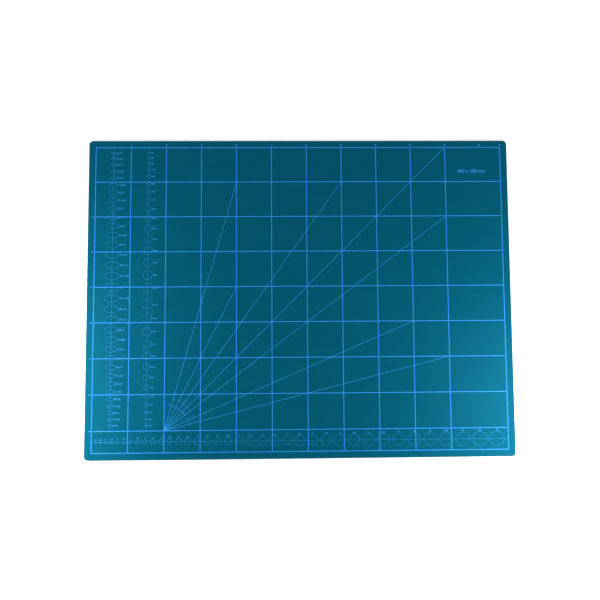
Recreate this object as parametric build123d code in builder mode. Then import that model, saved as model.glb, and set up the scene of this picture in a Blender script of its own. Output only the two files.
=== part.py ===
from build123d import *

import os
from math import atan2, degrees, hypot, sqrt

# Self healing mat: five bonded plies, die cut flush, with a drafting grid and size gauges screen
# printed on the top face. Millimetres. The origin is the middle of the underside, +X runs along
# the length, +Y towards the top edge of the print, and +Z out of the printed face.

os.makedirs("parts", exist_ok=True)

INCH = 25.4

# The cut sheet
mat_length = 600.0
mat_width = 450.0
corner_radius = 5.5
edge_radius = 0.3           # the die leaves the two outer edges slightly rounded

# Plies, the same on both sides of the core
healing_thickness = 0.8     # closes up again behind the blade
cushion_thickness = 0.4     # softer, lets the blade sink
core_thickness = 0.6        # hard, stops the blade

# Printed border and grid. The grid counts whole cells from the top left corner of the border,
# and leaves a panel at the right for the size mark and a band at the bottom for the hole gauge.
ink_thickness = 0.05
print_margin = 10.0         # bare edge outside the border, to the middle of its line
border_line = 0.8
grid_line = 0.8
cell_pitch = 50.0
size_panel_min = 75.0
hole_band_min = 28.0

# Angle rays, fanned out from one crossing on the lowest grid line, with an arc across them
ray_line = 0.4
ray_start_column = 2
ray_steps = [(2, 7), (2, 4), (5, 7), (8, 8), (8, 6), (7, 3), (8, 2)]     # cells across, cells up
angle_arc_radius = 45.0

# Size gauges: outlines strung on a centre line, each drawn round its true size
gauge_line = 0.2
ellipse_smallest = 6.0      # major axis
ellipse_largest = 22.0
ellipse_step = 1.0
ellipse_ratio = 0.5         # minor over major axis
ellipse_gap = 5.0
circle_smallest = INCH * 5 / 64
circle_largest = INCH * 35 / 64
circle_step = INCH / 32
circle_gap = 5.0
circle_end_gap = 6.4        # from the border to the first circle
hexagon_smallest = 3.0      # corner to corner
hexagon_largest = 15.0
hexagon_step = 1.0
hexagon_gap = 5.0
hexagon_end_gap = 6.0       # from the lowest grid line to the first hexagon
hole_smallest = 2.0
hole_largest = 20.0
hole_step = 0.5
hole_gap = 4.5
hole_end_gap = 5.0

hexagon_ratio = 2 / sqrt(3)             # corner to corner over across flats


def sizes(smallest, largest, step):
    """Every size from the smallest to the largest, both included."""
    return [smallest + step * i for i in range(round((largest - smallest) / step) + 1)]


def run_length(lengths, gap):
    """Length of a run of outlines with a gap between neighbours."""
    return sum(lengths) + gap * (len(lengths) - 1)


def string_out(lengths, gap, start, end):
    """(length, centre) of each outline, strung from start as far as it fits before end."""
    strung = []
    for length in lengths:
        if start + length > end:
            break
        strung.append((length, start + length / 2))
        start += length + gap
    return strung


# ---- Plies, from the table up ----

plies = [
    ("bottom_healing_layer", healing_thickness),
    ("lower_cushion_layer", cushion_thickness),
    ("rigid_core", core_thickness),
    ("upper_cushion_layer", cushion_thickness),
    ("top_healing_layer", healing_thickness),
]
outer_edges = {"bottom_healing_layer": 0, "top_healing_layer": -1}      # lowest or highest edges
level = 0.0
for name, thickness in plies:
    with BuildPart() as ply:
        with BuildSketch(Plane.XY.offset(level)):
            RectangleRounded(mat_length, mat_width, corner_radius)
        extrude(amount=thickness)
        if name in outer_edges:
            fillet(ply.edges().group_by(Axis.Z)[outer_edges[name]], edge_radius)
    ply.part.label = name
    export_step(ply.part, f"parts/{name}.step")
    level += thickness

# ---- Border and grid, printed on the top ply ----

print_plane = Plane.XY.offset(level)
border_length = mat_length - 2 * print_margin
border_width = mat_width - 2 * print_margin
left = -border_length / 2
top = border_width / 2
columns = int((border_length - size_panel_min) // cell_pitch)
rows = int((border_width - hole_band_min) // cell_pitch)
column_height = cell_pitch * rows
grid_foot = top - column_height         # the lowest grid line

with BuildPart() as grid_print:
    with BuildSketch(print_plane) as grid_lines:
        Rectangle(border_length + border_line, border_width + border_line)
        Rectangle(border_length - border_line, border_width - border_line, mode=Mode.SUBTRACT)
        with Locations(*[(left + cell_pitch * i, 0) for i in range(1, columns + 1)]):
            Rectangle(grid_line, border_width)
        with Locations(*[(0, top - cell_pitch * j) for j in range(1, rows + 1)]):
            Rectangle(border_length, grid_line)
    extrude(amount=ink_thickness)
grid_print.part.label = "grid_print"
export_step(grid_print.part, "parts/grid_print.step")

# ---- Angle rays and their arc ----

ray_start = (left + cell_pitch * ray_start_column, grid_foot)
ray_angles = [degrees(atan2(up, across)) for across, up in ray_steps]

with BuildPart() as angle_ray_print:
    with BuildSketch(print_plane):
        for (across, up), angle in zip(ray_steps, ray_angles):
            inside_grid = min(1, (columns - ray_start_column) / across, rows / up)
            ray_length = cell_pitch * hypot(across, up) * inside_grid
            with Locations(ray_start):
                Rectangle(ray_length, ray_line, rotation=angle, align=(Align.MIN, Align.CENTER))
        arc_sweep = max(ray_angles) - min(ray_angles)
        SlotArc(CenterArc(ray_start, angle_arc_radius, min(ray_angles), arc_sweep), gauge_line)
        add(grid_lines.sketch_local, mode=Mode.SUBTRACT)
    extrude(amount=ink_thickness)
angle_ray_print.part.label = "angle_ray_print"
export_step(angle_ray_print.part, "parts/angle_ray_print.step")

# ---- Ellipse gauge: down the middle of the first column, largest half way ----

ellipse_x = left + cell_pitch / 2
majors = sizes(ellipse_smallest, ellipse_largest, ellipse_step)
half_run = [ellipse_ratio * major for major in majors]
minors = half_run + half_run[-2::-1]
while run_length(minors, ellipse_gap) > column_height:
    minors = minors[1:-1]
ellipse_end_gap = (column_height - run_length(minors, ellipse_gap)) / 2

with BuildPart() as ellipse_gauge_print:
    with BuildSketch(print_plane):
        for minor, drop in string_out(minors, ellipse_gap, ellipse_end_gap, column_height):
            major = minor / ellipse_ratio
            with Locations((ellipse_x, top - drop)):
                Ellipse((major + gauge_line) / 2, (minor + gauge_line) / 2)
                Ellipse((major - gauge_line) / 2, (minor - gauge_line) / 2, mode=Mode.SUBTRACT)
        with Locations((ellipse_x, top)):
            Rectangle(gauge_line, column_height, align=(Align.CENTER, Align.MAX))
        add(grid_lines.sketch_local, mode=Mode.SUBTRACT)
    extrude(amount=ink_thickness)
ellipse_gauge_print.part.label = "ellipse_gauge_print"
export_step(ellipse_gauge_print.part, "parts/ellipse_gauge_print.step")

# ---- Circle and hexagon gauges: down the second column, circles from the top, hexagons from
# the foot. They share the column in the ratio of their full lengths. ----

shape_x = left + cell_pitch * 3 / 2
diameters = sizes(circle_smallest, circle_largest, circle_step)
corner_heights = sizes(hexagon_smallest, hexagon_largest, hexagon_step)
circle_run = circle_end_gap + run_length(diameters, circle_gap)
hexagon_run = hexagon_end_gap + run_length(corner_heights, hexagon_gap)
circle_room = column_height * circle_run / (circle_run + hexagon_run)
hexagon_room = column_height - circle_room

with BuildPart() as circle_gauge_print:
    with BuildSketch(print_plane):
        for diameter, drop in string_out(diameters, circle_gap, circle_end_gap, circle_room):
            with Locations((shape_x, top - drop)):
                Circle((diameter + gauge_line) / 2)
                Circle((diameter - gauge_line) / 2, mode=Mode.SUBTRACT)
        with Locations((shape_x, top)):
            Rectangle(gauge_line, circle_room, align=(Align.CENTER, Align.MAX))
        add(grid_lines.sketch_local, mode=Mode.SUBTRACT)
    extrude(amount=ink_thickness)
circle_gauge_print.part.label = "circle_gauge_print"
export_step(circle_gauge_print.part, "parts/circle_gauge_print.step")

corner_up = 90      # turns a hexagon so that two corners lie on the centre line

with BuildPart() as hexagon_gauge_print:
    with BuildSketch(print_plane):
        for height, rise in string_out(corner_heights, hexagon_gap, hexagon_end_gap, hexagon_room):
            outer = (height / hexagon_ratio + gauge_line) / 2
            inner = outer - gauge_line
            with Locations((shape_x, grid_foot + rise)):
                RegularPolygon(outer, 6, major_radius=False, rotation=corner_up)
                RegularPolygon(
                    inner, 6, major_radius=False, rotation=corner_up, mode=Mode.SUBTRACT
                )
        with Locations((shape_x, grid_foot)):
            Rectangle(gauge_line, hexagon_room, align=(Align.CENTER, Align.MIN))
        add(grid_lines.sketch_local, mode=Mode.SUBTRACT)
    extrude(amount=ink_thickness)
hexagon_gauge_print.part.label = "hexagon_gauge_print"
export_step(hexagon_gauge_print.part, "parts/hexagon_gauge_print.step")

# ---- Hole gauge: along the middle of the bottom band ----

hole_y = (grid_foot - border_width / 2) / 2
holes = sizes(hole_smallest, hole_largest, hole_step)

with BuildPart() as hole_gauge_print:
    with BuildSketch(print_plane):
        for diameter, along in string_out(
            holes, hole_gap, hole_end_gap, border_length - hole_end_gap
        ):
            with Locations((left + along, hole_y)):
                Circle((diameter + gauge_line) / 2)
                Circle((diameter - gauge_line) / 2, mode=Mode.SUBTRACT)
        with Locations((0, hole_y)):
            Rectangle(border_length, gauge_line)
        add(grid_lines.sketch_local, mode=Mode.SUBTRACT)
    extrude(amount=ink_thickness)
hole_gauge_print.part.label = "hole_gauge_print"
export_step(hole_gauge_print.part, "parts/hole_gauge_print.step")
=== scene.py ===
from math import atan2, cos, degrees, radians, sin, sqrt

import bmesh
import bpy
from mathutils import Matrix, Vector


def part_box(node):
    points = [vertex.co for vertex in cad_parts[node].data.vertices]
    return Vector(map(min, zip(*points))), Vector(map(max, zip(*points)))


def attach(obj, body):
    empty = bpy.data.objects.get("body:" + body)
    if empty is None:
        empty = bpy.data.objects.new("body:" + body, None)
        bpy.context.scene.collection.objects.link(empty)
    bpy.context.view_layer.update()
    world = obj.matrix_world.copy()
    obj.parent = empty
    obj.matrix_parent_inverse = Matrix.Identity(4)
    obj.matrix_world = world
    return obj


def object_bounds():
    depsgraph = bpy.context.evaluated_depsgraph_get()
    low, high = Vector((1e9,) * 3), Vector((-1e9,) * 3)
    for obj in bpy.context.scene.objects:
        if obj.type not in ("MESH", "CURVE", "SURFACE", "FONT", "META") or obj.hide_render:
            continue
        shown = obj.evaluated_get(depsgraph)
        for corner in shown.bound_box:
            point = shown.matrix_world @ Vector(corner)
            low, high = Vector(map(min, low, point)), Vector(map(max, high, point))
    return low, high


# A self healing cutting mat on a white studio table: five bonded plies, with a drafting grid, angle
# rays and size gauges screen printed on the top face. Metres, in the frame of the CAD model: the
# origin is the middle of the underside, +X runs along the length and +Y to the top of the print.

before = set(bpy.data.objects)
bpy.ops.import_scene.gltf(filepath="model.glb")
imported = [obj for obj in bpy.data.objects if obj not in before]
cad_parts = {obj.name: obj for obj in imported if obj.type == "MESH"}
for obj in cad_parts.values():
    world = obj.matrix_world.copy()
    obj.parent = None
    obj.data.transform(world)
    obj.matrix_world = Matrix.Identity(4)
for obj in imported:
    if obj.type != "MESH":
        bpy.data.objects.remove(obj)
cad_low, cad_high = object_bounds()
mm = 0.001

# ---- Healing plies ----
# The two outer sheets, which close up again behind the blade: soft PVC, filled with teal pigment,
# calendered flat, and matted with a fine leather grain rolled in while warm. Die cut with the rest.


def linear(colour):
    """Linear red, green, blue and alpha of an sRGB hex colour."""
    shares = [int(colour[i:i + 2], 16) / 255 for i in (1, 3, 5)]
    return [c / 12.92 if c <= 0.04045 else ((c + 0.055) / 1.055) ** 2.4 for c in shares] + [1.0]


def add(tree, kind, inputs, output=None, **settings):
    """Adds a node with its settings, and returns the output named, or else the first. An input
    takes a value, or another node's output, which is linked to it."""
    node = tree.nodes.new("ShaderNode" + kind)
    for name, value in settings.items():
        setattr(node, name, value)
    for name, value in inputs.items():
        socket = next(s for s in node.inputs if name in (s.identifier, s.name))
        if isinstance(value, bpy.types.NodeSocket):
            tree.links.new(value, socket)
        else:
            socket.default_value = value
    for socket in node.outputs:
        if output in (None, socket.identifier, socket.name):
            return socket


def blank_material(name):
    """A material with nothing in it yet, and its node tree."""
    material = bpy.data.materials.new(name)
    material.use_nodes = True
    material.node_tree.nodes.clear()
    return material, material.node_tree


def dress(node_name, material):
    """Gives a CAD piece its finished material, in place of the ones it came with."""
    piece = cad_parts[node_name]
    piece.data.materials.clear()
    piece.data.materials.append(material)


def calendered_pvc():
    """Matt teal PVC sheet: an even deep colour with barely a cloud in it, and no mirror of the
    lamps."""
    grain_width = 0.6 * mm          # leather grain, cell to cell
    grain_depth = 0.02 * mm
    cloud_width = 5 * mm            # faint streaks that the rolls leave along the sheet
    cloud_length = 60 * mm
    speck_width = 2.2 * mm          # uneven matting
    die_scratch = 0.15 * mm         # drag lines of the cutting die on the edge
    die_length = 3 * mm
    rubbed_width = 1.2 * mm         # rim that hands and rulers rub paler
    rub_patch = 14 * mm

    material, tree = blank_material("calendered_pvc_teal")
    place = add(tree, "TexCoord", {}, "Object")
    rolled = add(tree, "Mapping", {
        "Vector": place, "Scale": (1 / cloud_length, 1 / cloud_width, 1 / cloud_width)})
    cloud = add(tree, "TexNoise", {"Vector": rolled, "Scale": 1.0, "Detail": 3.0})
    speck = add(tree, "TexNoise", {"Vector": place, "Scale": 1 / speck_width, "Detail": 2.0})
    both = add(tree, "Math", {"Value": cloud, "Value_001": speck}, operation="ADD")
    tone = add(tree, "MapRange", {"Value": both, "From Min": 0.7, "From Max": 1.3})
    body = add(tree, "Mix", {
        "Factor_Float": tone, "A_Color": linear("#004e64"), "B_Color": linear("#005268"),
    }, "Result_Color", data_type="RGBA")

    # How far outside the rubbed rim a point is, the same on all four sides and ragged inwards
    along = add(tree, "Math", {"Value": add(tree, "SeparateXYZ", {"Vector": place}, "X")},
                operation="ABSOLUTE")
    across = add(tree, "Math", {"Value": add(tree, "SeparateXYZ", {"Vector": place}, "Y")},
                 operation="ABSOLUTE")
    past_end = add(tree, "Math", {"Value": along, "Value_001": cad_high.x}, operation="SUBTRACT")
    past_side = add(tree, "Math", {"Value": across, "Value_001": cad_high.y}, operation="SUBTRACT")
    past_rim = add(tree, "Math", {"Value": past_end, "Value_001": past_side}, operation="MAXIMUM")
    patch = add(tree, "TexNoise", {"Vector": place, "Scale": 1 / rub_patch, "Detail": 4.0})
    ragged = add(tree, "Math", {"Value": patch, "Value_001": rubbed_width, "Value_002": past_rim},
                 operation="MULTIPLY_ADD")
    rub = add(tree, "MapRange", {"Value": ragged, "From Max": 0.7 * rubbed_width, "To Max": 0.35})
    colour = add(tree, "Mix", {
        "Factor_Float": rub, "A_Color": body, "B_Color": linear("#2d8493"),
    }, "Result_Color", data_type="RGBA")

    # Leather grain on the faces, drag lines on the cut edge
    grain = add(tree, "TexVoronoi", {"Vector": place, "Scale": 1 / grain_width},
                feature="SMOOTH_F1")
    dragged = add(tree, "Mapping", {
        "Vector": place, "Scale": (1 / die_scratch, 1 / die_scratch, 1 / die_length)})
    drag = add(tree, "TexNoise", {"Vector": dragged, "Scale": 1.0, "Detail": 2.0})
    normal = add(tree, "NewGeometry", {}, "True Normal")
    level = add(tree, "Math", {"Value": add(tree, "SeparateXYZ", {"Vector": normal}, "Z")},
                operation="ABSOLUTE")
    on_face = add(tree, "MapRange", {"Value": level, "From Min": 0.5, "From Max": 0.9})
    relief = add(tree, "Mix", {"Factor_Float": on_face, "A_Float": drag, "B_Float": grain})
    bump = add(tree, "Bump", {"Height": relief, "Strength": 1.0, "Distance": grain_depth})
    matting = add(tree, "MapRange", {
        "Value": speck, "From Min": 0.3, "From Max": 0.7, "To Min": 0.55, "To Max": 0.66})
    shader = add(tree, "BsdfPrincipled", {
        "Base Color": colour, "Roughness": matting, "IOR": 1.53, "Specular IOR Level": 0.02,
        "Normal": bump})
    add(tree, "OutputMaterial", {"Surface": shader})
    return material


teal_pvc = calendered_pvc()
for ply in ("top_healing_layer", "bottom_healing_layer"):
    dress(ply, teal_pvc)

# ---- Cushion plies ----
# Softer PVC with more plasticiser and less pigment, laminated under each outer sheet so that the
# blade sinks in. Only its cut edge shows, as a paler and slightly waxy band.


def cut_edge(name, dark, pale, dullness):
    """A cut edge: the colour comes in short upright smears, where the die dragged the layer."""
    smear_width = 0.5 * mm
    smear_length = 4 * mm

    material, tree = blank_material(name)
    place = add(tree, "TexCoord", {}, "Object")
    dragged = add(tree, "Mapping", {
        "Vector": place, "Scale": (1 / smear_width, 1 / smear_width, 1 / smear_length)})
    smear = add(tree, "TexNoise", {"Vector": dragged, "Scale": 1.0, "Detail": 3.0})
    colour = add(tree, "Mix", {
        "Factor_Float": smear, "A_Color": linear(dark), "B_Color": linear(pale),
    }, "Result_Color", data_type="RGBA")
    bump = add(tree, "Bump", {"Height": smear, "Strength": 0.5, "Distance": 0.03 * mm})
    finish = add(tree, "MapRange", {
        "Value": smear, "To Min": dullness - 0.08, "To Max": dullness + 0.08})
    shader = add(tree, "BsdfPrincipled", {
        "Base Color": colour, "Roughness": finish, "IOR": 1.52, "Specular IOR Level": 0.3,
        "Normal": bump})
    add(tree, "OutputMaterial", {"Surface": shader})
    return material


soft_pvc = cut_edge("soft_laminated_pvc", "#0f6673", "#2a8591", 0.5)
for ply in ("upper_cushion_layer", "lower_cushion_layer"):
    dress(ply, soft_pvc)

# ---- Hard core ----
# The middle sheet that stops the blade: unpigmented hard PVC, bonded between the cushions. It
# shows as a thin milky line half way up the edge.

dress("rigid_core", cut_edge("natural_hard_pvc", "#b0bbb6", "#cdd5d0", 0.42))

# ---- Border and grid ----
# Pale blue vinyl ink, screen printed in one pass through the open mesh and keyed into the grain.
# The film is a twentieth of a millimetre thick, matt, and a little thin where the squeegee skipped.


def screen_ink(name, full, thin, skips):
    """Matt ink: even from afar, and from near a little patchy where the film is thin on the
    grain."""
    mesh_mark = 0.8 * mm            # the real mesh mark is 0.2 mm; drawn coarser so that it shows
    skip_length = 9 * mm

    material, tree = blank_material(name)
    place = add(tree, "TexCoord", {}, "Object")
    fine = add(tree, "TexNoise", {"Vector": place, "Scale": 1 / mesh_mark, "Detail": 2.0})
    broad = add(tree, "TexNoise", {"Vector": place, "Scale": 1 / skip_length, "Detail": 3.0})
    mottle = add(tree, "Math", {"Value": fine, "Value_001": 0.5, "Value_002": broad},
                 operation="MULTIPLY_ADD")
    film = add(tree, "MapRange", {
        "Value": mottle, "From Min": 0.5, "From Max": 1.0, "To Max": skips})
    colour = add(tree, "Mix", {
        "Factor_Float": film, "A_Color": linear(full), "B_Color": linear(thin),
    }, "Result_Color", data_type="RGBA")
    bump = add(tree, "Bump", {"Height": fine, "Strength": 0.4, "Distance": 0.01 * mm})
    matt = add(tree, "MapRange", {
        "Value": fine, "From Min": 0.3, "From Max": 0.7, "To Min": 0.48, "To Max": 0.62})
    shader = add(tree, "BsdfPrincipled", {
        "Base Color": colour, "Roughness": matt, "IOR": 1.5, "Specular IOR Level": 0.04,
        "Normal": bump})
    add(tree, "OutputMaterial", {"Surface": shader})
    return material


grid_ink = screen_ink("screen_ink_sky_blue", "#3c94fd", "#2884ee", 0.8)
dress("grid_print", grid_ink)

# The border's middle lines and the grid's, as printed
border_line = 0.8 * mm
cell = 50 * mm
grid_low, grid_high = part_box("grid_print")
left = grid_low.x + border_line / 2
right = grid_high.x - border_line / 2
top = grid_high.y - border_line / 2
columns = 10
rows = 8
grid_foot = top - rows * cell

# ---- Scale numbers ----
# Centimetres from the top left corner of the border, in the bare margin above and beside it, one
# number at each grid line. Printed in the same pass and the same ink as the grid.

ply_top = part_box("top_healing_layer")[1].z
number_film = 0.045 * mm            # a hair under the lines' film
digit_share = 0.7                   # height of a digit, as a share of the built-in font's size
print_spread = 0.02                 # ink spread past a small digit's edge, as a share of height


def print_numbers(name, labels, height, ink, spread=print_spread):
    """Prints labels as one piece. Each is (text, x, y, anchor): its box stands level with y, and x is
    at its left end where anchor is 0, and at its middle where it is 0.5."""
    printed = bmesh.new()
    for text, x, y, anchor in labels:
        curve = bpy.data.curves.new(name, "FONT")
        curve.body = text
        curve.size = height * (1 - 2 * spread) / digit_share
        curve.extrude = number_film / 2
        curve.offset = spread * height
        curve.resolution_u = 3
        stamp = bpy.data.objects.new(name, curve)
        mesh = bpy.data.meshes.new_from_object(stamp)
        xs = [v.co.x for v in mesh.vertices]
        ys = [v.co.y for v in mesh.vertices]
        shift_x = x - min(xs) - anchor * (max(xs) - min(xs))
        shift_y = y - (min(ys) + max(ys)) / 2
        for v in mesh.vertices:
            v.co = (v.co.x + shift_x, v.co.y + shift_y, v.co.z + ply_top + number_film / 2)
        printed.from_mesh(mesh)
        bpy.data.meshes.remove(mesh)
        bpy.data.objects.remove(stamp)
        bpy.data.curves.remove(curve)
    bmesh.ops.remove_doubles(printed, verts=printed.verts, dist=0.001 * mm)
    bmesh.ops.recalc_face_normals(printed, faces=printed.faces)
    mesh = bpy.data.meshes.new(name)
    printed.to_mesh(mesh)
    printed.free()
    mesh.materials.append(ink)
    piece = bpy.data.objects.new(name, mesh)
    bpy.context.scene.collection.objects.link(piece)
    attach(piece, "root")


scale_height = 2.4 * mm
scale_offset = 3.4 * mm             # from the border's middle to the middle of the number
cm_per_cell = 5

across = [(str(cm_per_cell * i), left + i * cell, top + scale_offset, 0.5)
          for i in range(1, columns + 2)]
across.append((str(round((right - left) / (10 * mm))), right, top + scale_offset, 0.5))
side_height = 1.9 * mm
down = [(str(cm_per_cell * j), left - scale_offset, top - j * cell, 0.5)
        for j in range(1, rows + 1)]
print_numbers("top_scale_numbers", across, scale_height, grid_ink)
print_numbers("side_scale_numbers", down, side_height, grid_ink)

# ---- Size mark ----
# The size of the mat in millimetres, large but in thin strokes, in the panel at the top right of
# the border.

size_text = f"{round((cad_high.x - cad_low.x) / mm)} x {round((cad_high.y - cad_low.y) / mm)} mm"
size_middle = (left + 538 * mm, top - 34.7 * mm)
size_height = 4.7 * mm
print_numbers("size_mark", [(size_text, *size_middle, 0.5)], size_height, grid_ink,
              spread=0)

# ---- Angle rays ----
# Fine lines fanned out from one crossing for marking out common angles, with an arc across them.
# The degrees stand between the rays, just inside the arc. Same ink, through much finer openings.

gauge_ink = screen_ink("screen_ink_fine_line", "#3a9cee", "#298adf", 1.0)
dress("angle_ray_print", gauge_ink)

ray_start = (left + 2 * cell, grid_foot)
ray_steps = [(2, 7), (2, 4), (5, 7), (8, 8), (8, 6), (7, 3), (8, 2)]     # cells across, cells up
degree_radius = 36 * mm
degree_lead = radians(4.5)          # each number stands this far anticlockwise of its ray
degree_labels = []
for steps_across, steps_up in ray_steps:
    angle = atan2(steps_up, steps_across)
    x = ray_start[0] + degree_radius * cos(angle + degree_lead)
    y = ray_start[1] + degree_radius * sin(angle + degree_lead)
    degree_labels.append((str(round(degrees(angle))), x, y, 0.5))
degree_height = 1.8 * mm
print_numbers("angle_numbers", degree_labels, degree_height, gauge_ink)

# ---- Ellipse gauge ----
# Ovals down the first column, largest half way, to lay a template or an oval punch against. Each
# is half as wide as it is long, and both axes are printed beside it in millimetres.

dress("ellipse_gauge_print", gauge_ink)

label_gap = 1.0 * mm                # clear between an outline and its size
ellipse_gap = 5 * mm
majors = list(range(6, 23))
majors += majors[-2::-1]
ellipse_ratio = 0.5
ellipse_run = sum(majors) * ellipse_ratio * mm + ellipse_gap * (len(majors) - 1)
edge = top - (rows * cell - ellipse_run) / 2
ellipse_labels = []
for major in majors:
    minor = major * ellipse_ratio
    x = left + cell / 2 + major / 2 * mm + label_gap
    ellipse_labels.append((f"{major} x {minor:g}", x, edge - minor / 2 * mm, 0))
    edge -= minor * mm + ellipse_gap
ellipse_label_height = 2.4 * mm
print_numbers("ellipse_size_numbers", ellipse_labels, ellipse_label_height, gauge_ink)

# ---- Circle gauge ----
# True circles down the upper part of the second column, growing downwards, with their diameters
# in sixty-fourths of an inch, as on drills.

dress("circle_gauge_print", gauge_ink)

inch = 25.4 * mm
shape_x = left + 1.5 * cell
circle_gap = 5 * mm
circle_end_gap = 6.4 * mm
edge = top - circle_end_gap
circle_labels = []
for sixty_fourths in range(5, 37, 2):
    diameter = sixty_fourths * inch / 64
    x = shape_x + diameter / 2 + label_gap
    circle_labels.append((f"{sixty_fourths}/64", x, edge - diameter / 2, 0))
    edge -= diameter + circle_gap
shape_label_height = 1.9 * mm
print_numbers("circle_size_numbers", circle_labels, shape_label_height, gauge_ink)

# ---- Hexagon gauge ----
# Six-sided outlines growing upwards from the foot of the second column, for nuts and spacers, with
# the size from corner to corner.

dress("hexagon_gauge_print", gauge_ink)

hexagon_gap = 5 * mm
hexagon_end_gap = 6 * mm
edge = grid_foot + hexagon_end_gap
hexagon_labels = []
for height in range(3, 16):
    flats = height * sqrt(3) / 2 * mm
    x = shape_x + flats / 2 + label_gap
    hexagon_labels.append((f"{height} mm", x, edge + height / 2 * mm, 0))
    edge += height * mm + hexagon_gap
print_numbers("hexagon_size_numbers", hexagon_labels, shape_label_height, gauge_ink)

# ---- Hole gauge ----
# Circles along the bottom band in half millimetre steps, to read the size of a punch or a rivet.
# The diameter stands above each one.

dress("hole_gauge_print", gauge_ink)

hole_y = (grid_foot + grid_low.y + border_line / 2) / 2
hole_gap = 4.5 * mm
hole_end_gap = 5 * mm
hole_rise = 2.4 * mm                # from the top of a circle to the middle of its number
edge = left + hole_end_gap
hole_labels = []
for half_mm in range(4, 41):                              # 2 to 20 mm
    diameter = half_mm / 2 * mm
    text = f"{half_mm / 2:g}"
    hole_labels.append((text, edge + diameter / 2, hole_y + diameter / 2 + hole_rise, 0.5))
    edge += diameter + hole_gap
hole_label_height = 2.1 * mm
print_numbers("hole_size_numbers", hole_labels, hole_label_height, gauge_ink)

# ---- Studio table ----
# A large sheet of opal acrylic, matt and lit from below, so that the mat lies on even white.

table_side = 6.0
table_drop = 0.1 * mm               # keeps the table's top from lying in the mat's underside
table_mesh = bpy.data.meshes.new("studio_table")
sheet = bmesh.new()
bmesh.ops.create_grid(sheet, x_segments=12, y_segments=12, size=table_side / 2)
sheet.to_mesh(table_mesh)
sheet.free()
table = bpy.data.objects.new("studio_table", table_mesh)
table.location.z = -table_drop
bpy.context.scene.collection.objects.link(table)

opal, tree = blank_material("opal_acrylic_matt")
shader = add(tree, "BsdfPrincipled", {
    "Base Color": linear("#f3f3f3"), "Roughness": 0.8, "Specular IOR Level": 0.1,
    "Emission Color": linear("#ffffff"), "Emission Strength": 0.25})
add(tree, "OutputMaterial", {"Surface": shader})
table_mesh.materials.append(opal)

# ---- Lights ----
# A white room, and two softboxes that hang low over the table beside the mat, towards its bottom
# corners, facing down. So the print is brightest at both ends and deepest along the top middle.


def softbox(name, place, power):
    """A square softbox that faces straight down."""
    lamp = bpy.data.lights.new(name, "AREA")
    lamp.shape = "SQUARE"
    lamp.size = 0.3
    lamp.energy = power
    lamp_object = bpy.data.objects.new(name, lamp)
    lamp_object.location = place
    lamp_object.visible_camera = False
    bpy.context.scene.collection.objects.link(lamp_object)


softbox("left_softbox", (-0.52, -0.14, 0.17), 3.5)
softbox("right_softbox", (0.48, -0.22, 0.21), 3.3)

room = bpy.data.worlds.new("white_room")
room.use_nodes = True
room.node_tree.nodes["Background"].inputs["Color"].default_value = linear("#ffffff")
room.node_tree.nodes["Background"].inputs["Strength"].default_value = 0.82
bpy.context.scene.world = room
bpy.context.scene.view_settings.view_transform = "Standard"

# ---- Camera ----
# Above the middle of the mat and a little towards its bottom edge, looking almost straight down
# through a 27 mm lens.

lens = bpy.data.cameras.new("camera")
lens.lens = 27
lens.sensor_width = 36
lens.clip_start = 0.01
camera = bpy.data.objects.new("camera", lens)
camera.location = (-0.0095, -0.0383, 0.6378)
camera.rotation_euler = [radians(angle) for angle in (3.045, -0.809, -0.387)]
bpy.context.scene.collection.objects.link(camera)
bpy.context.scene.camera = camera
